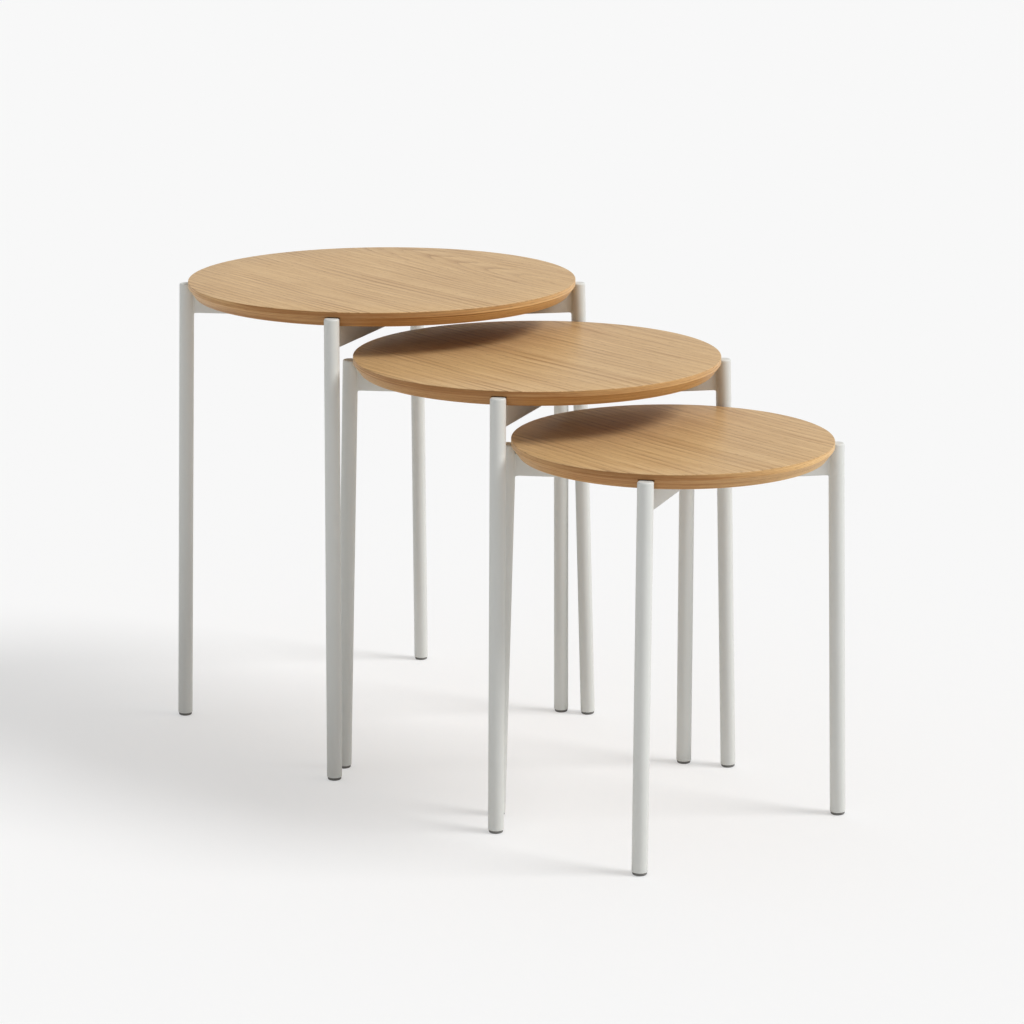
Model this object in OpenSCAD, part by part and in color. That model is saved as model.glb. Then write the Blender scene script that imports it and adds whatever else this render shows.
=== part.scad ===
// Set of three round nesting side tables.
// +X is the direction in which the smaller tables are pulled out, +Y is to the left of it and +Z is up.
// The origin is on the floor, in the middle of the set's outline.

/* [Large table] */
// Diameter of the large top
large_diameter = 422; // [418:1:424]
// Height of the large top above the floor
large_height = 500; // [496:1:520]

/* [Medium table] */
// Diameter of the medium top
medium_diameter = 382; // [378:1:382]
// Height of the medium top above the floor
medium_height = 452; // [444:1:453]
// How far the medium table's centre stands in front of the large one's
medium_forward = 251; // [251:1:300]
// How far the medium table's centre stands to the left of the large one's
medium_left = 7.5; // [0:0.5:7.5]

/* [Small table] */
// Diameter of the small top
small_diameter = 322; // [316:1:324]
// Height of the small top above the floor
small_height = 397; // [388:1:399]
// How far the small table's centre stands in front of the medium one's
small_forward = 203; // [203:1:240]
// How far the small table's centre stands to the left of the medium one's
small_left = 4; // [0:1:4]

/* [Top] */
// Thickness of each top
top_thickness = 16; // [15:1:18]
// Height of the upright band of the edge, above the bevel
band_height = 5.8; // [5:0.1:8]
// How far the bevel under the edge goes in
bevel_inset = 7.5; // [4:0.5:8]
// Width of the solid lipping round the core
lipping_width = 12; // [10:1:16]
// Thickness of the face and back veneers
veneer_thickness = 0.6; // [0.5:0.1:1]
// How much the sharp top edge is eased
edge_break = 0.4; // [0.2:0.1:0.6]

/* [Legs] */
// Outer diameter of the leg tube
leg_diameter = 16; // [14:0.5:16]
// Wall of the leg tube
leg_wall = 1.5; // [1:0.1:2]
// How far the leg's axis stands outside the edge of the top
leg_outset = 3; // [2:0.5:4]
// How far the leg's end stays below the top's surface
leg_drop = 6.5; // [5:0.5:7]
// Lean of each leg away from the table's centre, in degrees
leg_lean = 1.6; // [1:0.1:2]
// Angle of each front leg from the forward direction, in degrees
front_spread = 52; // [51:0.5:54]
// Angle of each rear leg from the backward direction, in degrees
rear_spread = 48.5; // [46:0.5:49]
// Gap between a leg and the notch in the top's edge
notch_gap = 0.8; // [0.6:0.1:1.2]
// Height of the welded cap that closes a leg
cap_height = 3.5; // [3.5:0.5:5]
// Rounding of the cap's rim
cap_rounding = 1.6; // [1:0.1:1.7]

/* [Crossbars] */
// Height of the flat bars, which stand on edge
bar_height = 23; // [18:1:24]
// Thickness of the flat bars
bar_thickness = 4; // [3:0.5:5]
// How far the bars' crossing is ahead of the centre, as a share of the top's radius
hub_share = 0.17; // [0.1:0.01:0.2]

/* [Fixings] */
// Length and width of the fixing tabs
tab_size = 20; // [18:1:24]
// Thickness of the fixing tabs
tab_thickness = 2.5; // [2:0.5:3]
// Where the tabs sit along each bar, as a share of its length
tab_share = 0.6; // [0.5:0.01:0.65]
// Diameter of the hole in each tab
tab_hole = 5; // [4.6:0.1:6]
// Diameter of the screw's shank
screw_diameter = 4; // [3.5:0.1:4.2]
// Diameter of the screw's head
screw_head = 9; // [8:0.5:10]
// Height of the screw's head
screw_head_height = 2.6; // [2:0.1:3]
// How deep the screw goes into the top
screw_depth = 11; // [9:1:12]

/* [Feet] */
// Height of the foot glide below the tube
glide_height = 3; // [3:0.5:6]
// Diameter of the foot glide
glide_diameter = 14.5; // [13:0.5:15]
// Rounding of the glide's lower edge
glide_rounding = 1.5; // [1:0.1:1.6]
// Length of the stem that holds the glide in the tube
stem_length = 14; // [10:1:20]

/* [Hidden] */
$fn = 96;
rim_facets = 180;

// Each table is [name, radius, height, centre x, centre y].
set_length = large_diameter / 2 + medium_forward + small_forward + small_diameter / 2;
large_x = large_diameter / 2 - set_length / 2;
medium_x = large_x + medium_forward;
small_x = medium_x + small_forward;
TABLES = [
    ["large", large_diameter / 2, large_height, large_x, 0],
    ["medium", medium_diameter / 2, medium_height, medium_x, medium_left],
    ["small", small_diameter / 2, small_height, small_x, medium_left + small_left]
];

// Each leg is [name, angle from forward], going round from the front left.
LEGS = [
    ["front_left", front_spread],
    ["rear_left", 180 - rear_spread],
    ["rear_right", 180 + rear_spread],
    ["front_right", -front_spread]
];

TOP_PIECES = ["face_veneer", "top_core", "back_veneer", "edge_lipping"];
SMALL_PIECES = ["leg_caps", "foot_glides", "fixing_tabs", "screws"];
LEG_PIECES = [for (leg = LEGS) str("leg_", leg[0])];
BAR_PIECES = [for (leg = LEGS) str("bar_", leg[0])];
PIECES = concat(TOP_PIECES, SMALL_PIECES, LEG_PIECES, BAR_PIECES);

leg_radius = leg_diameter / 2;
bore_radius = leg_radius - leg_wall;
stem_clearance = 0.05;
bar_middle = top_thickness + bar_height / 2;
screw_rounding = 1;

// How far a cutting tool runs past the face that it cuts
overcut = 1;
// How far the glides reach under the floor before they are cut level with it
floor_allowance = 0.3;
// Larger than any table
reach = 1000;

wood_colour = "#C8A478";
edge_colour = "#A8783F";
core_colour = "#B99A6B";
steel_colour = "#E6E5E1";
glide_colour = "#55524E";
screw_colour = "#A9A9A6";

// Distance of a leg's axis from the table's centre, at a depth below the top's surface
function leg_distance(table, depth) = table[1] + leg_outset + (depth - leg_drop) * tan(leg_lean);

function hub_x(table) = hub_share * table[1];

// Plan position of a leg's axis, from the table's centre, at the height of the bars
function bar_end(table, angle) = leg_distance(table, bar_middle) * [cos(angle), sin(angle)];

function bar_vector(table, angle) = bar_end(table, angle) - [hub_x(table), 0];

module on_table(table) {
    translate([table[3], table[4], 0]) children();
}

// Puts a child, drawn below the origin along -Z, on a leg's leaning axis. The origin is the leg's top end.
module on_leg(table, angle) {
    rotate([0, 0, angle])
        translate([table[1] + leg_outset, 0, table[2] - leg_drop])
            rotate([0, -leg_lean, 0])
                children();
}

// Puts a child, drawn with the hub at the origin and the leg along +X, on a bar, at the top's underside.
module on_bar(table, angle) {
    direction = bar_vector(table, angle);
    translate([hub_x(table), 0, table[2] - top_thickness])
        rotate([0, 0, atan2(direction[1], direction[0])])
            children();
}

// Puts a child at the middle of a fixing tab, at the top's underside.
module on_tab(table, angle) {
    side = abs(angle) > 90 ? sign(sin(angle)) : -sign(sin(angle));
    on_bar(table, angle)
        translate([tab_share * norm(bar_vector(table, angle)), side * (bar_thickness + tab_size) / 2, 0])
            children();
}

// The four notches that the legs stand in, cut from below and closed above the legs' ends
module leg_notches(table) {
    for (leg = LEGS)
        rotate([0, 0, leg[1]])
            translate([leg_distance(table, top_thickness / 2), 0, table[2] - top_thickness - overcut])
                cylinder(h = overcut + top_thickness - leg_drop + notch_gap, r = leg_radius + notch_gap);
}

// The four holes that the screws cut in the underside
module screw_holes(table) {
    for (leg = LEGS)
        on_tab(table, leg[1])
            translate([0, 0, -overcut])
                cylinder(h = screw_depth + overcut, d = screw_diameter);
}

// Half of a round bar's outline, for rotate_extrude, with its upper edge rounded
module rounded_outline(radius, height, rounding) {
    square([radius - rounding, height]);
    square([radius, height - rounding]);
    translate([radius - rounding, height - rounding]) circle(rounding);
}

module face_veneer(table) {
    color(wood_colour)
        on_table(table)
            translate([0, 0, table[2] - veneer_thickness])
                cylinder(h = veneer_thickness, r1 = table[1], r2 = table[1] - edge_break, $fn = rim_facets);
}

module top_core(table) {
    color(core_colour)
        on_table(table)
            difference() {
                translate([0, 0, table[2] - top_thickness + veneer_thickness])
                    cylinder(
                        h = top_thickness - 2 * veneer_thickness,
                        r = table[1] - lipping_width,
                        $fn = rim_facets
                    );
                screw_holes(table);
            }
}

module back_veneer(table) {
    color(wood_colour)
        on_table(table)
            difference() {
                translate([0, 0, table[2] - top_thickness])
                    cylinder(h = veneer_thickness, r = table[1] - lipping_width, $fn = rim_facets);
                screw_holes(table);
            }
}

module edge_lipping(table) {
    radius = table[1];
    color(edge_colour)
        on_table(table)
            difference() {
                translate([0, 0, table[2] - top_thickness])
                    rotate_extrude($fn = rim_facets)
                        polygon([
                            [radius - lipping_width, 0],
                            [radius - bevel_inset, 0],
                            [radius, top_thickness - band_height],
                            [radius, top_thickness - veneer_thickness],
                            [radius - lipping_width, top_thickness - veneer_thickness]
                        ]);
                leg_notches(table);
            }
}

// One leg tube, from under its cap down to its glide
module leg_tube(table, angle) {
    tube_length = (table[2] - leg_drop) / cos(leg_lean) - cap_height - glide_height;
    color(steel_colour)
        on_table(table)
            on_leg(table, angle)
                translate([0, 0, -cap_height - tube_length])
                    difference() {
                        cylinder(h = tube_length, r = leg_radius);
                        translate([0, 0, -overcut])
                            cylinder(h = tube_length + 2 * overcut, r = bore_radius);
                    }
}

module leg_caps(table) {
    color(steel_colour)
        on_table(table)
            for (leg = LEGS)
                on_leg(table, leg[1])
                    translate([0, 0, -cap_height])
                        rotate_extrude() rounded_outline(leg_radius, cap_height, cap_rounding);
}

// Stepped plugs with a rounded lower edge, cut level with the floor
module foot_glides(table) {
    axis_length = (table[2] - leg_drop) / cos(leg_lean);
    color(glide_colour)
        on_table(table)
            intersection() {
                for (leg = LEGS)
                    on_leg(table, leg[1])
                        translate([0, 0, glide_height - axis_length]) {
                            mirror([0, 0, 1])
                                rotate_extrude()
                                    rounded_outline(
                                        glide_diameter / 2, glide_height + floor_allowance, glide_rounding
                                    );
                            cylinder(h = stem_length, r = bore_radius - stem_clearance);
                        }
                translate([-reach / 2, -reach / 2, 0]) cube([reach, reach, reach / 2]);
            }
}

// One flat bar on edge, from the crossing to its leg, coped round the tube and mitred at the crossing
module crossbar(table, angle) {
    ahead = abs(angle) < 90;
    left = sin(angle) > 0;
    color(steel_colour)
        on_table(table)
            intersection() {
                difference() {
                    on_bar(table, angle)
                        translate([-bar_height, -bar_thickness / 2, -bar_height])
                            cube([norm(bar_vector(table, angle)) + bar_height, bar_thickness, bar_height]);
                    on_leg(table, angle)
                        translate([0, 0, -reach]) cylinder(h = reach, r = leg_radius);
                }
                translate([hub_x(table) - (ahead ? 0 : reach / 2), left ? 0 : -reach / 2, 0])
                    cube([reach / 2, reach / 2, reach]);
            }
}

module fixing_tabs(table) {
    color(steel_colour)
        on_table(table)
            for (leg = LEGS)
                on_tab(table, leg[1])
                    difference() {
                        translate([-tab_size / 2, -tab_size / 2, -tab_thickness])
                            cube([tab_size, tab_size, tab_thickness]);
                        translate([0, 0, -tab_thickness - overcut])
                            cylinder(h = tab_thickness + 2 * overcut, d = tab_hole);
                    }
}

module screws(table) {
    color(screw_colour)
        on_table(table)
            for (leg = LEGS)
                on_tab(table, leg[1]) {
                    translate([0, 0, -tab_thickness - overcut])
                        cylinder(h = screw_depth + tab_thickness + overcut, d = screw_diameter);
                    translate([0, 0, -tab_thickness])
                        mirror([0, 0, 1])
                            rotate_extrude()
                                rounded_outline(screw_head / 2, screw_head_height, screw_rounding);
                }
}

for (table = TABLES) {
    face_veneer(table);
    top_core(table);
    back_veneer(table);
    edge_lipping(table);
    leg_caps(table);
    foot_glides(table);
    fixing_tabs(table);
    screws(table);
    for (leg = LEGS) {
        leg_tube(table, leg[1]);
        crossbar(table, leg[1]);
    }
}
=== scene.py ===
import math

import bmesh
import bpy
from mathutils import Matrix, Vector


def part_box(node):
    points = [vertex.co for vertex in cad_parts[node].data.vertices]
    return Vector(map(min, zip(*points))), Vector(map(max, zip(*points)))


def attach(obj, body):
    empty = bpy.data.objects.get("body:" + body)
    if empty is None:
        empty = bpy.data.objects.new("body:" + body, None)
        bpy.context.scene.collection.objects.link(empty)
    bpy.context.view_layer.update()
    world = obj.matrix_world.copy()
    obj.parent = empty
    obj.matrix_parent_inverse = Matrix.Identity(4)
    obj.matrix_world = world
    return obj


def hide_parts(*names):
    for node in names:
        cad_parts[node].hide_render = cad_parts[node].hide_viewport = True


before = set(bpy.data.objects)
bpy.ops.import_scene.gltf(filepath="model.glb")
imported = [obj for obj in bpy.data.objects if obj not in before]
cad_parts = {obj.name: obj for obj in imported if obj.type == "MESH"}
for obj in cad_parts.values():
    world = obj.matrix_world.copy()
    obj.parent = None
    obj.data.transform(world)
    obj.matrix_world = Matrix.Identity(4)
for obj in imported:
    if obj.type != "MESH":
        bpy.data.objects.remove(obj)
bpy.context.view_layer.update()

# Everything is in metres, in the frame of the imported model. +X is the direction in which the smaller tables
# are pulled out, +Y is to the left of it, +Z is up, and the floor is at z = 0.

# A name that ends in SHARP is the angle in degrees above which an edge isn't shaded smooth.

MM = 0.001
TABLES = ("large", "medium", "small")
LEGS = ("front_left", "rear_left", "rear_right", "front_right")

# Where the middle of an eased edge lies, as shares of its width and of its height
EASE_MIDDLE = (0.3, 0.25)

# The top
NOTCH_GAP = 0.8 * MM
BAND_HEIGHT = 5.8 * MM
BEVEL_INSET = 7.5 * MM
LIPPING_WIDTH = 12 * MM
FACE_EASE = 0.5 * MM
JOINT_EASE = 0.3 * MM
UNDERSIDE_EASE = 0.7 * MM
RIM_STEPS = 72
NOTCH_STEPS = 18
BEVEL_STEPS = 9
FACE_SHARP = 50
LIPPING_SHARP = 12

# The steel frame
TUBE_WALL = 1.5 * MM
CAP_ROUNDING = 1.7 * MM
CAP_CHAMFER = 1 * MM
TUBE_END_ROUNDING = 0.5 * MM
BAR_THICKNESS = 4 * MM
BAR_ROUNDING = 0.6 * MM
CORNER_STEPS = 4
LEG_WELD_START = 1 * MM
LEG_WELD_UPPER = 1.5 * MM
LEG_WELD_LOWER = 3.0 * MM
HUB_WELD = 2.4 * MM
TAB_WELD = 1.8 * MM
WELD_RIPPLE = 0.07
WELD_PITCH = 2.2 * MM
WELD_STEP = 0.4 * MM
WELD_DEPTH = 0.5 * MM
HUB_WELD_DEPTH = 1 * MM
WELD_SHARP = 60
LATHE_STEPS = 56

# The fixings and feet
TAB_SIZE = 20 * MM
TAB_CORNER = 3 * MM
TAB_HOLE = 5 * MM
TAB_EASE = 0.35 * MM
TAB_STEPS = 64
SCREW_DIAMETER = 4 * MM
SCREW_HEAD = 9 * MM
SCREW_CROWN = 1 * MM
SCREW_PITCH = 1.4 * MM
SCREW_POINT = 3 * MM
SCREW_TIP_SHARE = 0.12
SCREW_STEPS = 48
THREAD_RINGS = 5
THREAD_ROOT = 0.75
RECESS_REACH = 2.1 * MM
RECESS_SLOT = 0.55 * MM
RECESS_LIP = 0.02 * MM
RECESS_DEPTH = 1.7 * MM
RECESS_POINT = 2.0 * MM
RECESS_TAPER = 0.72
GLIDE_DIAMETER = 14.5 * MM
GLIDE_ROUNDING = 1.5 * MM
GLIDE_CLEARANCE = 0.05 * MM
GLIDE_STEM = 14 * MM
GLIDE_CHAMFER = 1 * MM
GLIDE_EASE = 0.4 * MM


# ---------------------------------------------------------------------------------------------- frame

def middle(low, high):
    return (low + high) / 2


def top_of(table):
    """The centre of a table's upper face, its radius and its thickness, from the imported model."""
    low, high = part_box(f"{table}_edge_lipping")
    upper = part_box(f"{table}_face_veneer")[1].z
    centre = middle(low, high)
    return Vector((centre.x, centre.y, upper)), (high.x - low.x) / 2, upper - low.z


def veneer_of(table):
    """The thickness of a table's face veneer."""
    low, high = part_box(f"{table}_face_veneer")
    return high.z - low.z


def box_middle(points):
    """The centre of the box that holds some points."""
    low = Vector(min(p[i] for p in points) for i in range(3))
    high = Vector(max(p[i] for p in points) for i in range(3))
    return middle(low, high)


def end_ring(points, height):
    """The centre and outer radius of the ring of points within a millimetre of a height."""
    ring = [p for p in points if abs(p.z - height) < MM]
    centre = box_middle(ring)
    return centre, max((p - centre).length for p in ring)


def leg_of(table, leg):
    """A leg tube's lower and upper end centres and its outer radius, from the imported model."""
    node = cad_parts[f"{table}_leg_{leg}"]
    points = [v.co for v in node.data.vertices]
    lower, radius = end_ring(points, min(p.z for p in points))
    upper, _ = end_ring(points, max(p.z for p in points))
    return lower, upper, radius


def leg_frame(table, leg):
    """The turn that takes Z up a leg, the tube's upper end, its length and its outer radius."""
    lower, upper, radius = leg_of(table, leg)
    axis = (upper - lower).normalized()
    return axis.to_track_quat("Z", "Y").to_matrix().to_4x4(), upper, (upper - lower).length, radius


def leg_point(table, leg, height):
    """Where a leg's axis is at a height."""
    lower, upper, _ = leg_of(table, leg)
    return lower + (upper - lower) * (height - lower.z) / (upper.z - lower.z)


def bar_of(table, leg):
    """A bar's start at the crossing, its plan direction, its length to the leg's axis and its heights."""
    low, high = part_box(f"{table}_bar_{leg}")
    centre, _, _ = top_of(table)
    crossing_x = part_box(f"{table}_bar_front_left")[0].x
    end = leg_point(table, leg, middle(low, high).z)
    along = Vector((end.x - crossing_x, end.y - centre.y, 0))
    return Vector((crossing_x, centre.y, 0)), along.normalized(), along.length, low.z, high.z


def tab_places(table):
    """The middle of each fixing tab at the top's underside, with the plan direction along its bar."""
    points = [v.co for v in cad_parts[f"{table}_screws"].data.vertices]
    places = []
    for leg in LEGS:
        start, along, length, _, upper = bar_of(table, leg)
        near = [
            p for p in points
            if abs((p - start).cross(along).z) < TAB_SIZE and (p - start).dot(along) > 0
        ]
        centre = box_middle(near)
        places.append((Vector((centre.x, centre.y, upper)), along))
    return places


# ---------------------------------------------------------------------------------------------- mesh making

def make_piece(name, shape, material, body, replaces=(), sharp=35):
    """Turns a bmesh into a piece that rides on a body and stands for some CAD nodes."""
    bmesh.ops.recalc_face_normals(shape, faces=shape.faces)
    mesh = bpy.data.meshes.new(name)
    shape.to_mesh(mesh)
    shape.free()
    mesh.shade_smooth()
    mesh.set_sharp_from_angle(angle=math.radians(sharp))
    mesh.materials.append(material)
    piece = bpy.data.objects.new(name, mesh)
    bpy.context.scene.collection.objects.link(piece)
    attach(piece, body)
    if replaces:
        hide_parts(*replaces)


def add_loop(shape, points):
    return [shape.verts.new(p) for p in points]


def join_loops(shape, first, second):
    """Fills between two closed loops. One of them may be a single point."""
    steps = max(len(first), len(second))
    for i in range(steps):
        j = (i + 1) % steps
        corners = [first[i % len(first)], first[j % len(first)]]
        corners += [second[j % len(second)], second[i % len(second)]]
        shape.faces.new(tuple(dict.fromkeys(corners)))


def loft(shape, loops, closed=False):
    """Fills between each loop of points and the next, and back to the first one if it is closed."""
    made = [add_loop(shape, points) for points in loops]
    pairs = list(zip(made, made[1:]))
    if closed:
        pairs.append((made[-1], made[0]))
    for first, second in pairs:
        join_loops(shape, first, second)
    return made


def circle(radius, height, steps):
    if radius == 0:
        return [Vector((0, 0, height))]
    turns = [math.tau * i / steps for i in range(steps)]
    return [Vector((radius * math.cos(a), radius * math.sin(a), height)) for a in turns]


def placed(matrix, points):
    return [matrix @ p for p in points]


def lathe(shape, profile, matrix, steps=LATHE_STEPS):
    """A surface of revolution round local Z. The profile is a list of (radius, height)."""
    return loft(shape, [placed(matrix, circle(radius, height, steps)) for radius, height in profile])


def rounding(centre_radius, centre_height, size, start, end, steps=5):
    """Part of a profile that goes round a corner, between two angles in degrees from outward."""
    angles = [math.radians(start + (end - start) * i / steps) for i in range(steps + 1)]
    return [(centre_radius + size * math.cos(a), centre_height + size * math.sin(a)) for a in angles]


def fillet(shape, stations, steps=6):
    """A weld in a corner. A station is the corner, the weld's two edges and a point inside the metal."""
    shares = [k / steps for k in range(steps + 1)]
    loops = []
    for corner, first, second, inside in stations:
        arc = [first * (1 - t) ** 2 + corner * 2 * t * (1 - t) + second * t**2 for t in shares]
        loops.append(arc + [inside])
    loft(shape, [[loops[0][-1]]] + loops + [[loops[-1][-1]]])


# ---------------------------------------------------------------------------------------------- tops

def notches_of(table):
    """The plan angle and the distance from the top's centre of each of the four notches, going round."""
    centre, _, thickness = top_of(table)
    places = []
    for leg in LEGS:
        offset = leg_point(table, leg, centre.z - thickness / 2) - centre
        places.append((math.atan2(offset.y, offset.x) % math.tau, math.hypot(offset.x, offset.y)))
    return sorted(places)


def top_outline(table, inset, depth, notched=True):
    """The top's outline at an inset from its edge and a depth under its face, with or without notches."""
    centre, rim, _ = top_of(table)
    radius = rim - inset
    notch = leg_of(table, LEGS[0])[2] + NOTCH_GAP
    notches = notches_of(table)
    points = []
    for (angle, distance), (next_angle, next_distance) in zip(notches, notches[1:] + notches[:1]):
        half, inner = notch_mouth(radius, distance, notch)
        next_half, _ = notch_mouth(radius, next_distance, notch)
        hollow = Vector((distance * math.cos(angle), distance * math.sin(angle)))
        for i in range(NOTCH_STEPS):
            turn = angle + math.pi + inner * (1 - 2 * i / NOTCH_STEPS)
            point = hollow + notch * Vector((math.cos(turn), math.sin(turn)))
            points.append(point if notched and half else point.normalized() * radius)
        start = angle + half
        end = (next_angle - angle) % math.tau + angle - next_half
        for i in range(RIM_STEPS):
            turn = start + (end - start) * i / RIM_STEPS
            points.append(radius * Vector((math.cos(turn), math.sin(turn))))
    return [Vector((centre.x + p.x, centre.y + p.y, centre.z - depth)) for p in points]


def notch_mouth(radius, distance, notch):
    """Half the angle of a notch's mouth, as seen from the top's centre and from the notch's own."""
    if radius <= distance - notch:
        return 0, 0
    half = math.acos((radius**2 + distance**2 - notch**2) / (2 * radius * distance))
    inner = math.acos((notch**2 + distance**2 - radius**2) / (2 * notch * distance))
    return half, inner


def pulled_in(table, outline, radius):
    """The points of an outline, moved along their radii to one circle."""
    centre, _, _ = top_of(table)
    points = []
    for p in outline:
        offset = Vector((p.x - centre.x, p.y - centre.y, 0)).normalized() * radius
        points.append(Vector((centre.x + offset.x, centre.y + offset.y, p.z)))
    return points


def make_face_veneer(table, material):
    """The upper face: a thin disc with an eased rim."""
    thickness = veneer_of(table)
    shape = bmesh.new()
    centre, rim, _ = top_of(table)
    profile = [(0, -thickness), (rim, -thickness)]
    profile += rounding(rim - FACE_EASE, -FACE_EASE, FACE_EASE, 0, 90, steps=4)
    profile += [(rim * share, 0) for share in (0.75, 0.5, 0.25, 0)]
    lathe(shape, profile, Matrix.Translation(centre), 4 * RIM_STEPS)
    node = f"{table}_face_veneer"
    make_piece(f"{table}_oak_face", shape, material, f"{table}_table", [node], FACE_SHARP)


def notch_ceiling(table):
    """How far under the face the notches end, just above the legs."""
    return top_of(table)[0].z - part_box(f"{table}_leg_caps")[1].z - NOTCH_GAP


def make_edge_lipping(table, material):
    """The solid edge: an upright band, a bevel that the notches run out of, and an eased lower edge."""
    _, rim, thickness = top_of(table)
    under_face = veneer_of(table)
    ceiling = notch_ceiling(table)
    slope = BEVEL_INSET / (thickness - BAND_HEIGHT)
    nearest = min(distance for _, distance in notches_of(table))
    notch_reach = rim - nearest + leg_of(table, LEGS[0])[2] + NOTCH_GAP
    bevel_end = thickness - UNDERSIDE_EASE
    shut = min(BAND_HEIGHT + notch_reach / slope, bevel_end)

    def bevel_loop(depth, notched=True):
        return top_outline(table, max(0, depth - BAND_HEIGHT) * slope, depth, notched)

    loops = [top_outline(table, JOINT_EASE, under_face, notched=False)]
    for depth in sorted({under_face + JOINT_EASE, min(ceiling, BAND_HEIGHT), ceiling}):
        loops.append(bevel_loop(depth, notched=False))
    if ceiling < BAND_HEIGHT:
        loops.append(bevel_loop(ceiling))
    first = max(ceiling, BAND_HEIGHT)
    for i in range(BEVEL_STEPS + 1):
        loops.append(bevel_loop(first + (shut - first) * math.sin(math.pi / 2 * i / BEVEL_STEPS)))
    loops.append(bevel_loop(bevel_end))
    inward, upward = (UNDERSIDE_EASE * share for share in EASE_MIDDLE)
    loops.append(top_outline(table, BEVEL_INSET + inward, thickness - upward))
    loops.append(top_outline(table, BEVEL_INSET + UNDERSIDE_EASE, thickness))
    loops.append(pulled_in(table, loops[-1], rim - LIPPING_WIDTH))
    loops.append(pulled_in(table, loops[0], rim - LIPPING_WIDTH))
    shape = bmesh.new()
    loft(shape, loops, closed=True)
    bmesh.ops.remove_doubles(shape, verts=shape.verts, dist=MM / 1000)
    node = f"{table}_edge_lipping"
    make_piece(f"{table}_oak_lipping", shape, material, f"{table}_table", [node], LIPPING_SHARP)


# ---------------------------------------------------------------------------------------------- steel frame

def make_leg(table, leg, material):
    """A tube with its welded and rounded cap, bored from below."""
    turn, upper, length, radius = leg_frame(table, leg)
    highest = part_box(f"{table}_leg_caps")[1].z
    upright = (turn @ Vector((0, 0, 1))).z
    sideways = math.sqrt(max(0.0, 1 - upright**2))
    cap = (highest - upper.z - sideways * (radius - CAP_ROUNDING)) / upright
    bore = radius - TUBE_WALL
    foot = TUBE_END_ROUNDING - length
    profile = [(0, -TUBE_WALL), (bore - CAP_CHAMFER, -TUBE_WALL)]
    profile += [(bore, -TUBE_WALL - CAP_CHAMFER), (bore, foot)]
    profile += rounding(bore + TUBE_END_ROUNDING, foot, TUBE_END_ROUNDING, 180, 270, steps=3)
    profile += rounding(radius - TUBE_END_ROUNDING, foot, TUBE_END_ROUNDING, 270, 360, steps=3)
    profile += [(radius, -length * share) for share in (0.66, 0.33)]
    profile += rounding(radius - CAP_ROUNDING, cap - CAP_ROUNDING, CAP_ROUNDING, 0, 90, steps=8)
    profile += [(radius / 2, cap), (0, cap)]
    shape = bmesh.new()
    lathe(shape, profile, Matrix.Translation(upper) @ turn)
    nodes = [f"{table}_leg_{leg}", f"{table}_leg_caps"]
    make_piece(f"{table}_tube_{leg}", shape, material, f"{table}_table", nodes)


def bar_section(height):
    """Half widths and heights round a flat bar's section, with eased corners."""
    side, low, high = BAR_THICKNESS / 2 - BAR_ROUNDING, BAR_ROUNDING, height - BAR_ROUNDING
    section = []
    for x, z, start in ((side, high, 0), (-side, high, 90), (-side, low, 180), (side, low, 270)):
        section += rounding(x, z, BAR_ROUNDING, start, start + 90, steps=CORNER_STEPS)
    return section


def make_bar(table, leg, material):
    """A flat bar on edge, mitred at the crossing and let a little way into its leg."""
    start, along, length, lower, upper = bar_of(table, leg)
    radius = leg_of(table, leg)[2]
    across = Vector((-along.y, along.x, 0))
    end = length - radius + TUBE_WALL / 2
    hub_loop, leg_loop = [], []
    for t, z in bar_section(upper - lower):
        mitre = max(t * along.y / along.x, -t * along.x / along.y)
        point = start + across * t + Vector((0, 0, lower + z))
        hub_loop.append(point + along * mitre)
        leg_loop.append(point + along * end)
    shape = bmesh.new()
    made = loft(shape, [hub_loop, leg_loop])
    shape.faces.new(made[-1])
    tips = [start + Vector((0, 0, z)) for z in (lower + BAR_ROUNDING, upper - BAR_ROUNDING)]
    ridge = add_loop(shape, tips)
    count = len(hub_loop)
    for i in range(count):
        a, b = made[0][i], made[0][(i + 1) % count]
        tip = ridge[0] if (a.co.z + b.co.z) / 2 < (lower + upper) / 2 else ridge[1]
        shape.faces.new((a, b, tip))
    bmesh.ops.holes_fill(shape, edges=[e for e in shape.edges if e.is_boundary])
    node = f"{table}_bar_{leg}"
    make_piece(f"{table}_flat_bar_{leg}", shape, material, f"{table}_table", [node])


def rippled(size, travelled):
    """The size of a weld at a distance along it: its passes leave overlapping ripples."""
    phase = (travelled / WELD_PITCH) % 1
    return size * (1 - WELD_RIPPLE * (2 * phase - 1) ** 2)


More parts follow.
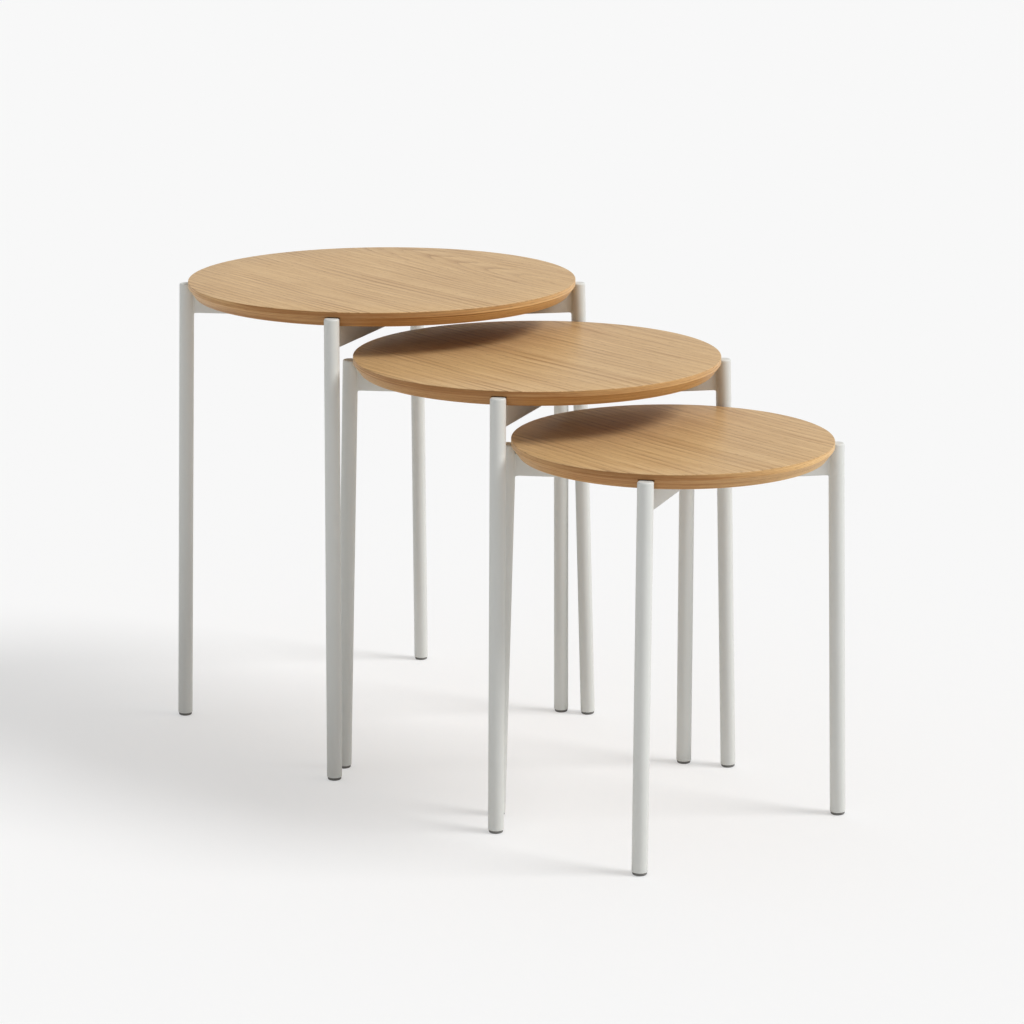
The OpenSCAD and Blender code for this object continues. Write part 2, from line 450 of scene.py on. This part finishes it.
def leg_weld(table, leg):
    """Stations down one side of a bar's end, round under it and up the other side."""
    _, along, _, lower, upper = bar_of(table, leg)
    radius = leg_of(table, leg)[2]
    across = Vector((-along.y, along.x, 0))
    half = BAR_THICKNESS / 2
    route = []
    for side in (1, -1):
        down = [(half, z, 0) for z in steps_between(upper - LEG_WELD_START, lower, WELD_STEP)]
        turn = [(half, lower, math.pi / 2 * i / CORNER_STEPS) for i in range(1, CORNER_STEPS)]
        under = [(offset, lower, math.pi / 2) for offset in steps_between(half, 0, WELD_STEP)]
        leg_side = [(side, *station) for station in down + turn + under]
        route += leg_side if side == 1 else leg_side[-2::-1]
    stations, travelled, before = [], 0, None
    for side, offset, z, angle in route:
        depth = (upper - z) / (upper - lower)
        size = LEG_WELD_UPPER + (LEG_WELD_LOWER - LEG_WELD_UPPER) * depth**2
        beside = across * side
        corner = on_tube(table, leg, along, beside, offset, z, radius)
        travelled += (corner - before).length if before else 0
        before = corner
        size = rippled(size, travelled)
        aside, down = math.cos(angle), math.sin(angle)
        away = beside * aside - Vector((0, 0, down))
        end = on_tube(table, leg, along, beside, offset + size * aside, z - size * down, radius)
        inside = corner + along * WELD_DEPTH - away * WELD_DEPTH
        stations.append((corner, corner - along * size, end, inside))
    return stations


def steps_between(start, end, step):
    count = max(1, math.ceil(abs(end - start) / step))
    return [start + (end - start) * i / count for i in range(count + 1)]


def on_tube(table, leg, along, across, offset, z, radius):
    """A point on a leg's surface that faces the crossing, at an arc length to one side and at a height."""
    turn = offset / radius
    return leg_point(table, leg, z) - along * radius * math.cos(turn) + across * radius * math.sin(turn)


def hub_welds(table):
    """Stations up each of the four corners between the bars at the crossing."""
    welds = []
    for leg, other in zip(LEGS, LEGS[1:] + LEGS[:1]):
        start, along, _, lower, upper = bar_of(table, leg)
        beside = bar_of(table, other)[1]
        middle_way = (along + beside).normalized()
        corner = start + middle_way * (BAR_THICKNESS / 2 / abs(middle_way.cross(along).z))
        stations = []
        for z in steps_between(lower + BAR_ROUNDING, upper - BAR_ROUNDING, WELD_STEP):
            size = rippled(HUB_WELD, z - lower)
            point = Vector((corner.x, corner.y, z))
            inside = point - middle_way * HUB_WELD_DEPTH
            stations.append((point, point + along * size, point + beside * size, inside))
        welds.append(stations)
    return welds


def tab_welds(table):
    """Stations along the joint between each fixing tab and its bar."""
    welds = []
    up = Vector((0, 0, 1))
    for place, along in tab_places(table):
        side = tab_side(table, place, along)
        edge = place - side * (TAB_SIZE / 2) - up * tab_thickness(table)
        reach = TAB_SIZE / 2 - TAB_CORNER
        stations = []
        for travelled in steps_between(-reach, reach, WELD_STEP):
            size = rippled(TAB_WELD, travelled)
            point = edge + along * travelled
            inside = point + (up - side) * WELD_DEPTH
            stations.append((point, point - up * size, point + side * size, inside))
        welds.append(stations)
    return welds


def make_welds(table, material):
    """The fillet welds between the bars and legs, at the crossing, and under the fixing tabs."""
    shape = bmesh.new()
    for stations in [leg_weld(table, leg) for leg in LEGS] + hub_welds(table) + tab_welds(table):
        fillet(shape, stations)
    make_piece(f"{table}_weld_beads", shape, material, f"{table}_table", sharp=WELD_SHARP)


def tab_thickness(table):
    low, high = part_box(f"{table}_fixing_tabs")
    return high.z - low.z


def tab_side(table, place, along):
    """The plan direction across a fixing tab, away from its bar."""
    start = bar_of(table, LEGS[0])[0]
    offset = place - start
    offset.z = 0
    return (offset - along * offset.dot(along)).normalized()


def make_tabs(table, material):
    """Small drilled plates with rounded corners, welded to the bars."""
    shape = bmesh.new()
    thickness = tab_thickness(table)
    turns = [math.tau * (i + 0.5) / TAB_STEPS for i in range(TAB_STEPS)]
    eased = TAB_EASE * EASE_MIDDLE[0]

    def plate_loop(inset, height):
        points = []
        half, corner = TAB_SIZE / 2 - TAB_CORNER, TAB_CORNER - inset
        for a in turns:
            x, y = math.cos(a), math.sin(a)
            quarter = Vector((math.copysign(half, x), math.copysign(half, y)))
            reach = ray_to_rounded_square(x, y, half, corner, quarter)
            points.append(Vector((x * reach, y * reach, height)))
        return points

    def hole_loop(radius, height):
        return [Vector((radius * math.cos(a), radius * math.sin(a), height)) for a in turns]

    for place, along in tab_places(table):
        side = tab_side(table, place, along)
        matrix = Matrix((along, side, Vector((0, 0, 1)))).transposed().to_4x4()
        matrix.translation = place
        loops = [
            hole_loop(TAB_HOLE / 2, 0),
            plate_loop(0, 0),
            plate_loop(0, -thickness + TAB_EASE),
            plate_loop(eased, -thickness + eased),
            plate_loop(TAB_EASE, -thickness),
            hole_loop(TAB_HOLE / 2, -thickness),
        ]
        loft(shape, [placed(matrix, loop) for loop in loops], closed=True)
    node = f"{table}_fixing_tabs"
    make_piece(f"{table}_drilled_tabs", shape, material, f"{table}_table", [node])


def ray_to_rounded_square(x, y, half, corner, quarter):
    """How far a ray from the middle of a square with rounded corners goes to its edge."""
    reach = (half + corner) / max(abs(x), abs(y))
    if min(abs(x), abs(y)) * reach > half:
        towards = x * quarter.x + y * quarter.y
        reach = towards + math.sqrt(towards**2 - quarter.length_squared + corner**2)
    return reach


def make_screws(table, material):
    """Pan-head screws with a cross recess and a thread."""
    shape = bmesh.new()
    low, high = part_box(f"{table}_screws")
    seat = -tab_thickness(table)
    outer, shank = SCREW_HEAD / 2, SCREW_DIAMETER / 2
    for place, _ in tab_places(table):
        matrix = Matrix.Translation(place)
        head, tip = low.z - place.z, high.z - place.z
        loops = [circle(shank, seat, SCREW_STEPS), circle(outer, seat, SCREW_STEPS)]
        crown = rounding(outer - SCREW_CROWN, head + SCREW_CROWN, SCREW_CROWN, 0, -75)
        loops += [circle(radius, height, SCREW_STEPS) for radius, height in crown]
        loops += [cross_loop(1.0, head + RECESS_LIP), cross_loop(RECESS_TAPER, head + RECESS_DEPTH)]
        loops += [circle(0, head + RECESS_POINT, SCREW_STEPS)]
        made = loft(shape, [placed(matrix, loop) for loop in loops])
        previous = made[0]
        for height in steps_between(seat, tip, SCREW_PITCH / THREAD_RINGS)[1:]:
            current = add_loop(shape, placed(matrix, thread_loop(shank, height, tip)))
            join_loops(shape, previous, current)
            previous = current
        shape.faces.new(previous)
    node = f"{table}_screws"
    make_piece(f"{table}_wood_screws", shape, material, f"{table}_table", [node])


def thread_loop(shank, height, tip):
    """A cut through a screw's thread, which narrows towards its tip."""
    narrowed = min(1.0, (tip - height) / SCREW_POINT + SCREW_TIP_SHARE)
    loop = []
    for i in range(SCREW_STEPS):
        turn = math.tau * i / SCREW_STEPS
        phase = (height / SCREW_PITCH - i / SCREW_STEPS) % 1
        crest = max(0.0, 1 - abs(phase - 0.5) * 4)
        radius = shank * narrowed * (THREAD_ROOT + (1 - THREAD_ROOT) * crest)
        loop.append(Vector((radius * math.cos(turn), radius * math.sin(turn), height)))
    return loop


def cross_loop(size, height):
    """The outline of a cross recess, with as many points as a circle of the screw."""
    length, width = RECESS_REACH * size, RECESS_SLOT * size
    arm = [Vector((x, y, 0)) for x, y in ((length, -width), (length, width), (width, width))]
    corners = []
    for k in range(4):
        turn = Matrix.Rotation(math.pi / 2 * k, 3, "Z")
        corners += [turn @ p for p in arm]
    per_side = SCREW_STEPS // len(corners)
    points = []
    for a, b in zip(corners, corners[1:] + corners[:1]):
        points += [a.lerp(b, i / per_side) for i in range(per_side)]
    first = round(math.atan2(width, length) / math.tau * SCREW_STEPS)
    points = points[first:] + points[:first]
    return [Vector((p.x, p.y, height)) for p in points]


def make_glides(table, material):
    """Stepped plugs with a rounded lower edge, level with the floor."""
    shape = bmesh.new()
    for leg in LEGS:
        turn, upper, length, radius = leg_frame(table, leg)
        axis = turn @ Vector((0, 0, 1))
        lower = upper - axis * length
        stem = radius - TUBE_WALL - GLIDE_CLEARANCE
        outer = GLIDE_DIAMETER / 2
        foot = -lower.z / axis.z
        profile = [(0, GLIDE_STEM), (stem - GLIDE_CHAMFER, GLIDE_STEM), (stem, GLIDE_STEM - GLIDE_CHAMFER)]
        profile += [(stem, 0), (outer - GLIDE_EASE, 0), (outer, -GLIDE_EASE)]
        profile += rounding(outer - GLIDE_ROUNDING, foot + GLIDE_ROUNDING, GLIDE_ROUNDING, 0, -90, steps=6)
        profile += [(0, foot)]
        for ring in lathe(shape, profile, Matrix.Translation(lower) @ turn):
            for vert in ring:
                vert.co.z = max(vert.co.z, 0.0)
    node = f"{table}_foot_glides"
    make_piece(f"{table}_glide_feet", shape, material, f"{table}_table", [node])


# ---------------------------------------------------------------------------------------------- materials

class Shader:
    """Short forms for building one node material."""

    def __init__(self, name):
        self.material = bpy.data.materials.new(name)
        self.material.use_nodes = True
        self.tree = self.material.node_tree
        self.surface = self.tree.nodes["Principled BSDF"]

    def node(self, kind, **settings):
        made = self.tree.nodes.new(kind)
        for key, value in settings.items():
            setattr(made, key, value)
        return made

    def put(self, value, socket):
        if isinstance(value, bpy.types.NodeSocket):
            self.tree.links.new(value, socket)
        else:
            socket.default_value = value

    def math(self, operation, a, b=0.0, c=0.0, clamp=False):
        made = self.node("ShaderNodeMath", operation=operation, use_clamp=clamp)
        for value, socket in zip((a, b, c), made.inputs):
            self.put(value, socket)
        return made.outputs[0]

    def join(self, x, y, z):
        made = self.node("ShaderNodeCombineXYZ")
        for value, socket in zip((x, y, z), made.inputs):
            self.put(value, socket)
        return made.outputs[0]

    def split(self, vector):
        made = self.node("ShaderNodeSeparateXYZ")
        self.put(vector, made.inputs[0])
        return made.outputs

    def place(self, origin=(0, 0, 0), turn=0):
        """The three object coordinates from an origin, turned about Z."""
        shifted = self.node("ShaderNodeVectorMath", operation="SUBTRACT")
        self.put(self.node("ShaderNodeTexCoord").outputs["Object"], shifted.inputs[0])
        shifted.inputs[1].default_value = origin
        turned = self.node("ShaderNodeVectorRotate", rotation_type="Z_AXIS")
        self.put(shifted.outputs[0], turned.inputs["Vector"])
        turned.inputs["Angle"].default_value = turn
        return self.split(turned.outputs[0])

    def noise(self, place, scales, detail=2.0, roughness=0.5):
        """Noise centred on zero, with so many features to the metre along each of three coordinates."""
        vector = self.join(*(self.math("MULTIPLY", x, scale) for x, scale in zip(place, scales)))
        made = self.node("ShaderNodeTexNoise", noise_dimensions="3D")
        self.put(vector, made.inputs["Vector"])
        made.inputs["Scale"].default_value = 1.0
        made.inputs["Detail"].default_value = detail
        made.inputs["Roughness"].default_value = roughness
        return self.math("SUBTRACT", made.outputs[0], 0.5)

    def ramp(self, value, stops):
        made = self.node("ShaderNodeValToRGB")
        elements = made.color_ramp.elements
        while len(elements) < len(stops):
            elements.new(0.5)
        for element, (position, level) in zip(elements, stops):
            element.position = position
            element.color = (level, level, level, 1)
        self.put(value, made.inputs[0])
        return made.outputs[0]

    def mix(self, factor, a, b):
        """Mixes two colours. Inputs 6 and 7 and output 2 are the node's colour sockets."""
        made = self.node("ShaderNodeMix", data_type="RGBA")
        self.put(factor, made.inputs["Factor"])
        self.put(a, made.inputs[6])
        self.put(b, made.inputs[7])
        return made.outputs[2]

    def bump(self, height, distance, strength):
        made = self.node("ShaderNodeBump")
        self.put(height, made.inputs["Height"])
        made.inputs["Distance"].default_value = distance
        made.inputs["Strength"].default_value = strength
        return made.outputs[0]

    def finish(self, paint, roughness, relief):
        """Gives the surface its colour, roughness and relief, each a socket or one value for all of it."""
        self.put(paint, self.surface.inputs["Base Color"])
        self.put(roughness, self.surface.inputs["Roughness"])
        self.put(relief, self.surface.inputs["Normal"])
        return self.material


def colour(red, green, blue):
    """A linear colour from the 0 to 255 values that a screen shows."""
    def linear(value):
        share = value / 255
        return share / 12.92 if share <= 0.04045 else ((share + 0.055) / 1.055) ** 2.4
    return (linear(red), linear(green), linear(blue), 1)


OAK_LIGHT = colour(231, 199, 151)
OAK_DARK = colour(193, 155, 106)
OAK_LINE = colour(148, 102, 61)
OAK_PORE = colour(110, 73, 38)
OAK_SHEEN = 0.36

# The lipping's colours, where its painted light is palest, and its mean tone with the painted shade's swing
EDGE_LIGHT = colour(233, 196, 140)
EDGE_DARK = colour(174, 126, 76)
EDGE_PAINTED_LIT_HEADING = math.radians(31)
EDGE_TONE = 0.5
EDGE_PAINTED_SHADE_SWING = 0.42

# How its grain is stretched: across by height and by radius, and into the wood by radius
EDGE_BY_HEIGHT = 1.8
EDGE_BY_RADIUS = 1.4
EDGE_DEPTH = 0.4

# How many features of the grain there are to the metre: along it, across it and into the wood
DRIFT = (1.7, 7.0, 1.0)
SWAY = (6.0, 16.0, 1.0)
UNEVEN = (2.0, 45.0, 1.0)
SHOW = (4.0, 28.0, 1.0)
BAND = (1.1, 60.0, 1.0)
STREAK = (7.0, 240.0, 1.0)
FLECK = (170.0, 520.0, 1.0)
FIBRE = (32.0, 1100.0, 900.0)
PORE = (90.0, 2700.0, 2000.0)

# How far the grain wanders sideways, in metres, and by how many rings the ring lines are uneven
DRIFT_REACH = 0.022
SWAY_REACH = 0.0045
UNEVEN_REACH = 1.1

# How much each of these shades the wood
BAND_WEIGHT = 0.95
STREAK_WEIGHT = 1.2
FLECK_WEIGHT = 0.2
FIBRE_WEIGHT = 0.8
LINE_WEIGHT = 0.85
PORE_WEIGHT = 0.7

# How noise becomes patches where the ring lines show, and pores, with a share of them left in the late wood
SHOW_GAIN = 2.6
SHOW_LEVEL = 0.34
PORE_GAIN = 9.0
PORE_LEVEL = -1.35
LATE_PORES = 0.25

# The relief of the wood, and how much duller its fibres and pores are
FIBRE_RELIEF = 0.35
PORE_RELIEF = -1.0
EARLY_RELIEF = -0.2
OAK_RELIEF = 0.06 * MM
OAK_RELIEF_STRENGTH = 0.6
FIBRE_DULLNESS = 0.12
PORE_DULLNESS = 0.15

# Where early wood starts, peaks and fades in one ring, and how strong it is there
EARLY_WOOD = [(0.0, 0.0), (0.08, 1.0), (0.24, 0.6), (0.6, 0.12), (1.0, 0.0)]


def grain_rings(shader, along, across, deep, figure):
    """Where a point is in its yearly ring: the early wood there, and how much of a dark line it shows."""
    heart, depth, rise, spacing = figure
    place = (along, across, deep)
    from_heart = shader.math("SUBTRACT", across, heart)
    below = shader.math("ADD", shader.math("MULTIPLY_ADD", along, rise, depth), deep)
    squares = shader.math("MULTIPLY_ADD", from_heart, from_heart, shader.math("MULTIPLY", below, below))
    ring = shader.math("DIVIDE", shader.math("SQRT", squares), spacing)
    uneven = shader.noise(place, UNEVEN, detail=1.0)
    ring = shader.math("MULTIPLY_ADD", uneven, UNEVEN_REACH, ring)
    early = shader.ramp(shader.math("FRACT", ring), EARLY_WOOD)
    show = shader.noise(place, SHOW)
    show = shader.math("MULTIPLY_ADD", show, SHOW_GAIN, SHOW_LEVEL, clamp=True)
    return early, shader.math("MULTIPLY", early, show)


def oak(shader, along, across, deep, figure, roughness, tone, shades):
    """Oak, from a coordinate along the grain, one across it and one into the wood, in metres."""
    drift = shader.noise((along, across, deep), DRIFT, detail=1.0)
    across = shader.math("MULTIPLY_ADD", drift, DRIFT_REACH, across)
    sway = shader.noise((along, across, deep), SWAY)
    across = shader.math("MULTIPLY_ADD", sway, SWAY_REACH, across)
    place = (along, across, deep)
    early, line = grain_rings(shader, along, across, deep, figure)

    band = shader.noise(place, BAND, detail=3.0, roughness=0.6)
    streak = shader.noise(place, STREAK, roughness=0.7)
    fleck = shader.noise(place, FLECK, detail=1.0)
    fibre = shader.noise(place, FIBRE, roughness=0.6)
    pore = shader.noise(place, PORE, detail=0.0)
    pore = shader.math("MULTIPLY_ADD", pore, PORE_GAIN, PORE_LEVEL, clamp=True)
    share = shader.math("MULTIPLY_ADD", early, 1 - LATE_PORES, LATE_PORES)
    pore = shader.math("MULTIPLY", pore, share)

    shade = shader.math("MULTIPLY_ADD", band, BAND_WEIGHT, tone)
    shade = shader.math("MULTIPLY_ADD", streak, STREAK_WEIGHT, shade)
    shade = shader.math("MULTIPLY_ADD", fleck, FLECK_WEIGHT, shade)
    shade = shader.math("MULTIPLY_ADD", fibre, FIBRE_WEIGHT, shade, clamp=True)
    wood = shader.mix(shade, *shades)
    wood = shader.mix(shader.math("MULTIPLY", line, LINE_WEIGHT), wood, OAK_LINE)
    wood = shader.mix(shader.math("MULTIPLY", pore, PORE_WEIGHT), wood, OAK_PORE)

    height = shader.math("MULTIPLY_ADD", fibre, FIBRE_RELIEF, shader.math("MULTIPLY", pore, PORE_RELIEF))
    height = shader.math("MULTIPLY_ADD", early, EARLY_RELIEF, height)
    gloss = shader.math("MULTIPLY_ADD", fibre, FIBRE_DULLNESS, roughness)
    gloss = shader.math("MULTIPLY_ADD", pore, PORE_DULLNESS, gloss)
    shader.surface.inputs["Specular IOR Level"].default_value = OAK_SHEEN
    return shader.finish(wood, gloss, shader.bump(height, OAK_RELIEF, OAK_RELIEF_STRENGTH))


def make_flat_oak(name, table, turn, figure, roughness, tone):
    """Veneer with the grain a few degrees off X, for the upper and lower faces."""
    shader = Shader(name)
    centre, _, _ = top_of(table)
    x, y, z = shader.place(centre, turn)
    return oak(shader, x, y, z, figure, roughness, tone, (OAK_LIGHT, OAK_DARK))


def make_edge_oak(name, table, figure, roughness):
    """Solid lipping with the grain round the rim, and coordinates that meet inside a notch.

    It carries painted light and shade: it is palest where it faces one heading and the opposite one, and
    darkest half way between.
    """
    shader = Shader(name)
    centre, rim, _ = top_of(table)
    seam = notches_of(table)[1][0]
    x, y, z = shader.place(centre, math.pi - seam)
    angle = shader.math("ARCTAN2", y, x)
    radial = shader.math("SQRT", shader.math("MULTIPLY_ADD", x, x, shader.math("MULTIPLY", y, y)))
    along = shader.math("MULTIPLY", angle, rim)
    outward = shader.math("MULTIPLY", radial, EDGE_BY_RADIUS)
    across = shader.math("MULTIPLY_ADD", z, EDGE_BY_HEIGHT, outward)
    deep = shader.math("MULTIPLY", radial, EDGE_DEPTH)
    # Painted light and shade: the tone swings with the heading that the lipping faces
    painted_shade_angle = shader.math("MULTIPLY_ADD", angle, 2.0, 2.0 * (seam - math.pi - EDGE_PAINTED_LIT_HEADING))
    tone = shader.math("MULTIPLY_ADD", shader.math("COSINE", painted_shade_angle), -EDGE_PAINTED_SHADE_SWING, EDGE_TONE)
    return oak(shader, along, across, deep, figure, roughness, tone, (EDGE_LIGHT, EDGE_DARK))


# The other materials' colours, and how many features of their grain there are to the metre along X, Y and Z
POWDER_LIGHT = colour(223, 224, 221)
POWDER_DARK = colour(215, 216, 212)
POWDER_PEEL = (520, 520, 520)
POWDER_GRIT = (2600, 2600, 2600)
POWDER_CLOUD = (14, 14, 9)
PLASTIC_LIGHT = colour(140, 139, 136)
PLASTIC_DARK = colour(118, 117, 114)
PLASTIC_GRAIN = (1800, 1800, 1800)
ZINC_LIGHT = colour(205, 205, 200)
ZINC_DARK = colour(176, 178, 180)
ZINC_SPANGLE = (900, 900, 900)
BOARD_LIGHT = colour(196, 162, 118)
BOARD_DARK = colour(150, 116, 78)
BOARD_CHIPS = (420, 420, 1500)
BOARD_ROUGHNESS = 0.85


def make_powder_coat():
    """White powder coat: a slight unevenness in colour, and the fine orange peel of the baked powder."""
    shader = Shader("white_powder_coat")
    place = shader.place()
    peel = shader.noise(place, POWDER_PEEL, detail=1.0)
    grit = shader.noise(place, POWDER_GRIT)
    cloud = shader.noise(place, POWDER_CLOUD)
    shade = shader.math("MULTIPLY_ADD", grit, 0.5, 0.5)
    shade = shader.math("MULTIPLY_ADD", cloud, 0.9, shade, clamp=True)
    roughness = shader.math("MULTIPLY_ADD", grit, 0.16, 0.46)
    relief = shader.bump(shader.math("MULTIPLY_ADD", grit, 0.22, peel), 0.05 * MM, 0.55)
    return shader.finish(shader.mix(shade, POWDER_LIGHT, POWDER_DARK), roughness, relief)


def make_glide_plastic():
    """Grey moulded plastic with a fine grain."""
    shader = Shader("glide_plastic")
    grain = shader.noise(shader.place(), PLASTIC_GRAIN)
    shade = shader.math("ADD", grain, 0.5, clamp=True)
    roughness = shader.math("MULTIPLY_ADD", grain, 0.2, 0.6)
    relief = shader.bump(grain, 0.04 * MM, 0.6)
    return shader.finish(shader.mix(shade, PLASTIC_LIGHT, PLASTIC_DARK), roughness, relief)


def make_zinc():
    """Zinc plating with a faint spangle."""
    shader = Shader("zinc_plate")
    spangle = shader.noise(shader.place(), ZINC_SPANGLE)
    shade = shader.math("ADD", spangle, 0.5, clamp=True)
    roughness = shader.math("MULTIPLY_ADD", spangle, 0.25, 0.36)
    relief = shader.bump(spangle, 0.02 * MM, 0.4)
    shader.surface.inputs["Metallic"].default_value = 1.0
    return shader.finish(shader.mix(shade, ZINC_LIGHT, ZINC_DARK), roughness, relief)


def make_fibreboard():
    """The board core: pressed wood fibre, seen where the top is taken apart."""
    shader = Shader("fibreboard")
    chips = shader.noise(shader.place(), BOARD_CHIPS, detail=3.0, roughness=0.7)
    shade = shader.math("MULTIPLY_ADD", chips, 1.6, 0.5, clamp=True)
    relief = shader.bump(chips, 0.1 * MM, 0.6)
    return shader.finish(shader.mix(shade, BOARD_LIGHT, BOARD_DARK), BOARD_ROUGHNESS, relief)


def show_node(node, material):
    """Gives a CAD node that stays in view a material of its own."""
    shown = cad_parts[node]
    shown.data.materials.clear()
    shown.data.materials.append(material)


# ---------------------------------------------------------------------------------------------- studio

# The camera's place in metres, heading and downward pitch in degrees, lens and sensor in millimetres
CAMERA_PLACE = (2.5026, -2.0998, 1.0851)
CAMERA_HEADING = 139.802
CAMERA_PITCH = 13.927
CAMERA_LENS = 111.44
SENSOR_WIDTH = 36
CAMERA_CLIP = 200

FLOOR_RADIUS = 60.0
FLOOR_INNER_RADIUS = 4.0
FLOOR_STEPS = 96
FLOOR_ROUGHNESS = 0.95
FLOOR_SHEEN = 0.1

# The floor's shade as the other surfaces catch it and as the camera sees it. The seen floor also glows,
# which keeps its shadows pale.
FLOOR_SHADE = 0.92
FLOOR_SEEN_SHADE = 0.48
FLOOR_GLOW = 0.447

# The key light's heading, height and spread are in degrees
KEY_HEADING = 38.0
KEY_HEIGHT = 44.0
KEY_SPREAD = 24.0
KEY_STRENGTH = 2.05

# The studio's light at eye level, and how much more comes from the right, from behind and from above
SKY_BASE = 0.42
SKY_RIGHT = -0.04
SKY_BACK = 0.1
SKY_UP = 0.24
SKY_LEAST = 0.04
BACKDROP = 0.938

# The picture's gamma. Below one it deepens the shadows.
PICTURE_GAMMA = 0.87


def make_camera():
    data = bpy.data.cameras.new("camera")
    data.lens = CAMERA_LENS
    data.sensor_width = SENSOR_WIDTH
    data.clip_end = CAMERA_CLIP
    camera = bpy.data.objects.new("camera", data)
    camera.location = CAMERA_PLACE
    camera.rotation_euler = (math.radians(90 - CAMERA_PITCH), 0, math.radians(CAMERA_HEADING - 90))
    bpy.context.scene.collection.objects.link(camera)
    bpy.context.scene.camera = camera


def make_floor():
    """A pale floor that glows with painted light where it is seen. It is clear from underneath, to show the
    undersides.
    """
    shape = bmesh.new()
    loft(shape, [circle(radius, 0, FLOOR_STEPS) for radius in (FLOOR_RADIUS, FLOOR_INNER_RADIUS, 0)])
    mesh = bpy.data.meshes.new("floor")
    shape.to_mesh(mesh)
    shape.free()
    shader = Shader("pale_floor")
    seen = shader.surface
    bounced = shader.node("ShaderNodeBsdfPrincipled")
    for surface, shade in ((seen, FLOOR_SEEN_SHADE), (bounced, FLOOR_SHADE)):
        surface.inputs["Base Color"].default_value = (shade, shade, shade, 1)
        surface.inputs["Roughness"].default_value = FLOOR_ROUGHNESS
        surface.inputs["Specular IOR Level"].default_value = FLOOR_SHEEN
    # The seen floor's glow is painted light, which keeps its shadows pale
    seen.inputs["Emission Color"].default_value = (1, 1, 1, 1)
    seen.inputs["Emission Strength"].default_value = FLOOR_GLOW
    upper = shader.node("ShaderNodeMixShader")
    shader.put(shader.node("ShaderNodeLightPath").outputs["Is Camera Ray"], upper.inputs[0])
    shader.put(bounced.outputs[0], upper.inputs[1])
    shader.put(seen.outputs[0], upper.inputs[2])
    either = shader.node("ShaderNodeMixShader")
    shader.put(shader.node("ShaderNodeNewGeometry").outputs["Backfacing"], either.inputs[0])
    shader.put(upper.outputs[0], either.inputs[1])
    shader.put(shader.node("ShaderNodeBsdfTransparent").outputs[0], either.inputs[2])
    shader.put(either.outputs[0], shader.tree.nodes["Material Output"].inputs[0])
    mesh.materials.append(shader.material)
    floor = bpy.data.objects.new("floor", mesh)
    bpy.context.scene.collection.objects.link(floor)


def make_key_light():
    """One large soft light from the right."""
    key = bpy.data.lights.new("key", "SUN")
    key.energy = KEY_STRENGTH
    key.angle = math.radians(KEY_SPREAD)
    lamp = bpy.data.objects.new("key", key)
    lamp.rotation_euler = (0, math.radians(90 - KEY_HEIGHT), math.radians(KEY_HEADING))
    bpy.context.scene.collection.objects.link(lamp)


def make_studio():
    """Light from all round, brighter from behind and above, with a plain backdrop for the camera."""
    world = bpy.data.worlds.new("studio")
    world.use_nodes = True
    bpy.context.scene.world = world
    tree = world.node_tree
    background = tree.nodes["Background"]
    background.inputs["Color"].default_value = (1, 1, 1, 1)
    heading = math.radians(CAMERA_HEADING)
    right = Vector((math.sin(heading), -math.cos(heading), 0))
    back = Vector((math.cos(heading), math.sin(heading), 0))
    slope = right * SKY_RIGHT + back * SKY_BACK + Vector((0, 0, SKY_UP))
    direction = tree.nodes.new("ShaderNodeTexCoord")
    dot = tree.nodes.new("ShaderNodeVectorMath")
    dot.operation = "DOT_PRODUCT"
    tree.links.new(direction.outputs["Generated"], dot.inputs[0])
    dot.inputs[1].default_value = slope
    level = tree.nodes.new("ShaderNodeMath")
    level.operation = "ADD"
    level.inputs[1].default_value = SKY_BASE
    tree.links.new(dot.outputs["Value"], level.inputs[0])
    least = tree.nodes.new("ShaderNodeMath")
    least.operation = "MAXIMUM"
    least.inputs[1].default_value = SKY_LEAST
    tree.links.new(level.outputs[0], least.inputs[0])
    seen = tree.nodes.new("ShaderNodeLightPath")
    either = tree.nodes.new("ShaderNodeMix")
    tree.links.new(seen.outputs["Is Camera Ray"], either.inputs["Factor"])
    tree.links.new(least.outputs[0], either.inputs[2])
    either.inputs[3].default_value = BACKDROP
    tree.links.new(either.outputs[0], background.inputs["Strength"])


def make_picture():
    """Plain display colours, with a little more contrast."""
    picture = bpy.context.scene.view_settings
    picture.view_transform = "Standard"
    picture.gamma = PICTURE_GAMMA


# ---------------------------------------------------------------------------------------------- the set

# Each figure is the heart line's offset, the pith's depth, its rise along the grain and the ring spacing
FACE_FIGURES = {
    "large": (0.135, 0.030, -0.16, 0.0085),
    "medium": (0.260, 0.050, -0.05, 0.0100),
    "small": (-0.270, 0.060, 0.06, 0.0095),
}

# How far each face's grain is turned from X, in degrees. The back's is turned the other way
FACE_TURNS = {"large": 3.0, "medium": 2.0, "small": 2.5}
BACK_FIGURE = (0.05, 0.08, 0.1, 0.011)
EDGE_FIGURE = (0.35, 0.05, 0.004, 0.0021)
FACE_ROUGHNESS, FACE_TONE = 0.36, 0.42
BACK_ROUGHNESS, BACK_TONE = 0.6, 0.87
EDGE_ROUGHNESS = 0.42

make_camera()
make_floor()
make_key_light()
make_studio()
make_picture()

steel = make_powder_coat()
plastic = make_glide_plastic()
zinc = make_zinc()
core = make_fibreboard()

for table in TABLES:
    turn = math.radians(FACE_TURNS[table])
    figure = FACE_FIGURES[table]
    face = make_flat_oak(f"{table}_face_oak", table, turn, figure, FACE_ROUGHNESS, FACE_TONE)
    back = make_flat_oak(f"{table}_back_oak", table, -turn, BACK_FIGURE, BACK_ROUGHNESS, BACK_TONE)
    edge = make_edge_oak(f"{table}_edge_oak", table, EDGE_FIGURE, EDGE_ROUGHNESS)
    make_face_veneer(table, face)
    make_edge_lipping(table, edge)
    show_node(f"{table}_back_veneer", back)
    show_node(f"{table}_top_core", core)
    for leg in LEGS:
        make_leg(table, leg, steel)
        make_bar(table, leg, steel)
    make_welds(table, steel)
    make_tabs(table, steel)
    make_screws(table, zinc)
    make_glides(table, plastic)
